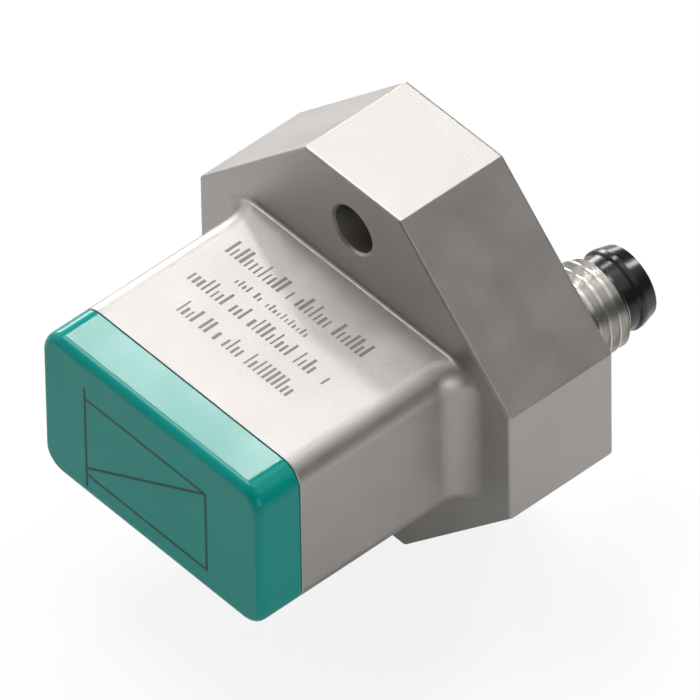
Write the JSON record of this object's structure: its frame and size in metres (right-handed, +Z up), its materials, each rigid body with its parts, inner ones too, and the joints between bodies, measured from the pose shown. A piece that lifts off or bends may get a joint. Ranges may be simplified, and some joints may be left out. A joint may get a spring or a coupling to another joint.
{
  "type": "inductive position sensor",
  "caption": "Flange-mounted inductive position sensor: a steel block with a plastic sensing cap on a short snout and a threaded round connector behind.",
  "frame": {"origin": "centre of the flange's front face, midway between the two screw holes", "axes": "+Z up, along the line of the two screw holes; +Y from the sensing cap towards the connector; +X towards the connector's side"},
  "size_m": [0.036, 0.0418, 0.036],
  "materials": {
    "blasted_steel": "fine bead-blasted stainless steel with bright broken edges",
    "sensing_plastic": "moulded satin plastic, blue-green",
    "plated_thread": "nickel-plated thread",
    "black_insulator": "moulded plastic, semi-gloss black",
    "contact_gold": "thin gold plating",
    "seal_rubber": "black seal rubber",
    "board_laminate": "green circuit board",
    "coil_copper": "bare printed copper",
    "ferrite": "sintered dark grey ferrite",
    "carrier_plastic": "natural moulded plastic",
    "chip_epoxy": "black moulded epoxy",
    "crystal_lid": "plated lid",
    "capacitor_ceramic": "tan ceramic",
    "header_tin": "tinned brass",
    "jacket_brown": "brown lead jacket",
    "jacket_blue": "blue lead jacket",
    "jacket_black": "black lead jacket"
  },
  "bodies": {
    "root": {"housing": "blasted_steel", "sensing_cap": "sensing_plastic", "cap_seal": "seal_rubber", "coil_board": "board_laminate", "sensing_coil_1": "coil_copper", "sensing_coil_2": "coil_copper", "sensing_coil_3": "coil_copper", "sensing_coil_4": "coil_copper", "ferrite_plate": "ferrite", "board_carrier": "carrier_plastic", "main_board": "board_laminate", "microcontroller": "chip_epoxy", "signal_amplifier": "chip_epoxy", "output_driver": "chip_epoxy", "voltage_regulator": "chip_epoxy", "protection_diode": "chip_epoxy", "filter_choke": "ferrite", "clock_crystal": "crystal_lid", "capacitors": "capacitor_ceramic", "resistors": "chip_epoxy", "header_body": "black_insulator", "header_pins": "header_tin", "connector_sleeve": "plated_thread", "contact_carrier": "black_insulator", "contact_pin_1": "contact_gold", "contact_pin_3": "contact_gold", "contact_pin_4": "contact_gold", "sleeve_seal": "seal_rubber", "lead_brown": "jacket_brown", "lead_blue": "jacket_blue", "lead_black": "jacket_black"}
  },
  "joints": []
}
